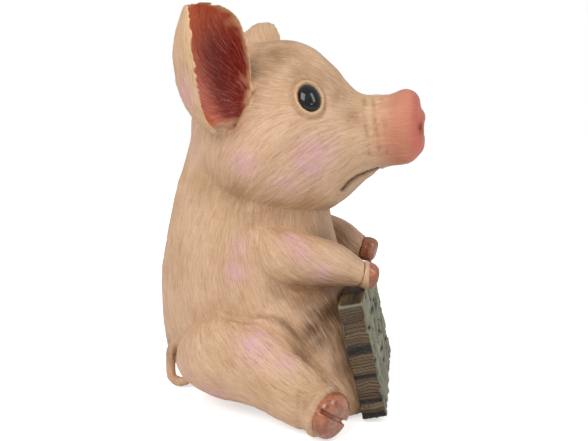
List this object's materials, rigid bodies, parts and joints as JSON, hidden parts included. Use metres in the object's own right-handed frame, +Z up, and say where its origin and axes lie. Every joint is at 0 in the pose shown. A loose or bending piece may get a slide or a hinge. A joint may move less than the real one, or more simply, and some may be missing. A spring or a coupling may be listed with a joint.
{
  "type": "pig figurine",
  "caption": "Seated piglet ornament with cupped ears that holds an upright plank-look board against its belly.",
  "frame": {"origin": "on the resting plane, in the middle of the piglet's width and near the middle of its seat", "axes": "+Z up, the piglet faces -Y, its own right-hand side is -X"},
  "size_m": [0.1696, 0.1573, 0.2209],
  "materials": {
    "skin": "hand-painted resin, satin, with blushed shading",
    "ear_skin": "hand-painted resin, satin, reddish inside",
    "hooves": "varnished resin",
    "eyes": "gloss black",
    "board": "resin cast and painted like weathered planks",
    "plate": "unpainted resin",
    "felt": "felt"
  },
  "bodies": {
    "root": {"torso": "skin", "head": "skin", "ear_right": "ear_skin", "ear_left": "ear_skin", "eye_right": "eyes", "eye_left": "eyes", "arm_right": "skin", "arm_left": "skin", "hoof_front_right": "hooves", "hoof_front_left": "hooves", "leg_right": "skin", "leg_left": "skin", "hoof_rear_right": "hooves", "hoof_rear_left": "hooves", "tail": "skin", "sign_board": "board", "closing_plate": "plate", "felt_pad": "felt"}
  },
  "joints": []
}
